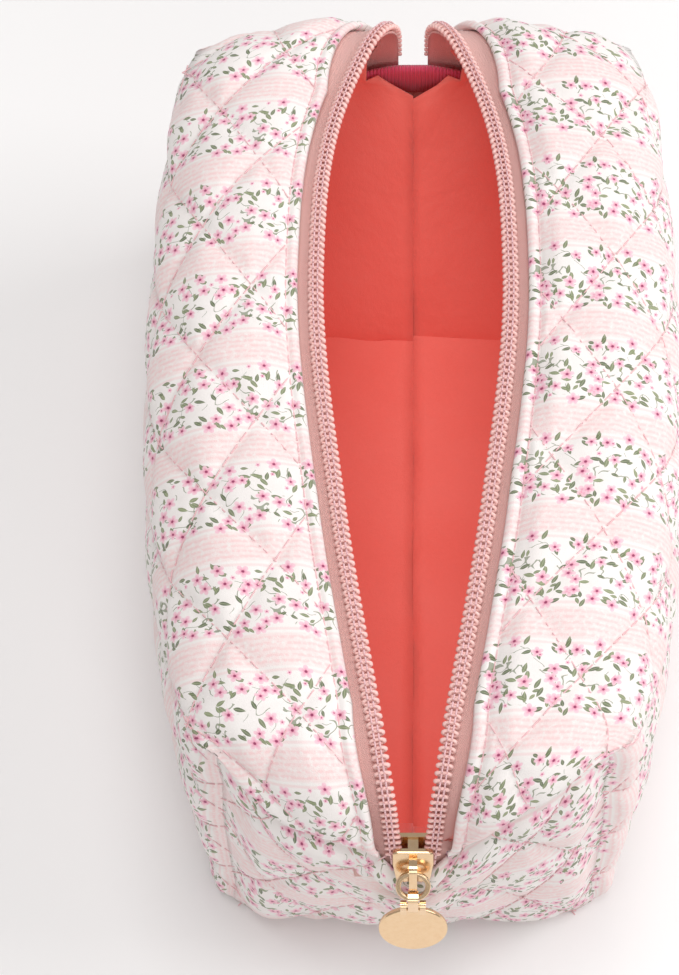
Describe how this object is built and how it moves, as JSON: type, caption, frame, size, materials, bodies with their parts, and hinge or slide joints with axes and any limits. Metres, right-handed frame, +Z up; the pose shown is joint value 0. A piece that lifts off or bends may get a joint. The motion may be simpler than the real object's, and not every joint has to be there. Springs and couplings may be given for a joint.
{
  "type": "makeup bag",
  "caption": "Soft quilted box pouch with a long zip over the top, worn open, a plain lining with bound seams and a small metal disc pull.",
  "frame": {"origin": "on the resting face, on the middle seam, level with the near end's boxed corners", "axes": "+Y from the near end, where the open zip's slider sits, to the far end; +X to the right seen from the near end; +Z up"},
  "size_m": [0.122, 0.226, 0.094],
  "materials": {
    "printed_cotton": "quilted printed cotton, matte",
    "wadding": "soft polyester wadding",
    "lining_cloth": "plain woven lining, slight sheen",
    "zip_tape": "herringbone polyester tape",
    "zip_coil": "nylon coil",
    "grosgrain": "ribbed ribbon",
    "gold_metal": "polished pale gold plate"
  },
  "bodies": {
    "pouch": {"cover_left": "printed_cotton", "cover_right": "printed_cotton", "wadding_left": "wadding", "wadding_right": "wadding", "lining_left": "lining_cloth", "lining_right": "lining_cloth", "zip_tape_left": "zip_tape", "zip_tape_right": "zip_tape", "zip_coil_left": "zip_coil", "zip_coil_right": "zip_coil", "end_binding_near": "grosgrain", "end_binding_far": "grosgrain", "corner_binding_near_left": "grosgrain", "corner_binding_near_right": "grosgrain", "corner_binding_far_left": "grosgrain", "corner_binding_far_right": "grosgrain"},
    "slider": {"slider_body": "gold_metal"},
    "ring": {"pull_ring": "gold_metal"},
    "link": {"pull_link": "gold_metal"},
    "disc": {"pull_disc": "gold_metal"}
  },
  "joints": [
    {"name": "slider_travel", "type": "slide", "parent": "pouch", "child": "slider", "axis": [0, 0.342, 0.9397], "range_m": [0, 0.009]},
    {"name": "ring_swing", "type": "hinge", "parent": "slider", "child": "ring", "pos_m": [0, -0.01839, 0.06707], "axis": [-1, 0, 0], "range_deg": [0, 110]},
    {"name": "link_swing", "type": "hinge", "parent": "ring", "child": "link", "pos_m": [0, -0.02205, 0.0627], "axis": [-1, 0, 0], "range_deg": [0, 45]},
    {"name": "disc_swing", "type": "hinge", "parent": "link", "child": "disc", "pos_m": [0, -0.02205, 0.05835], "axis": [-1, 0, 0], "range_deg": [0, 45]}
  ]
}
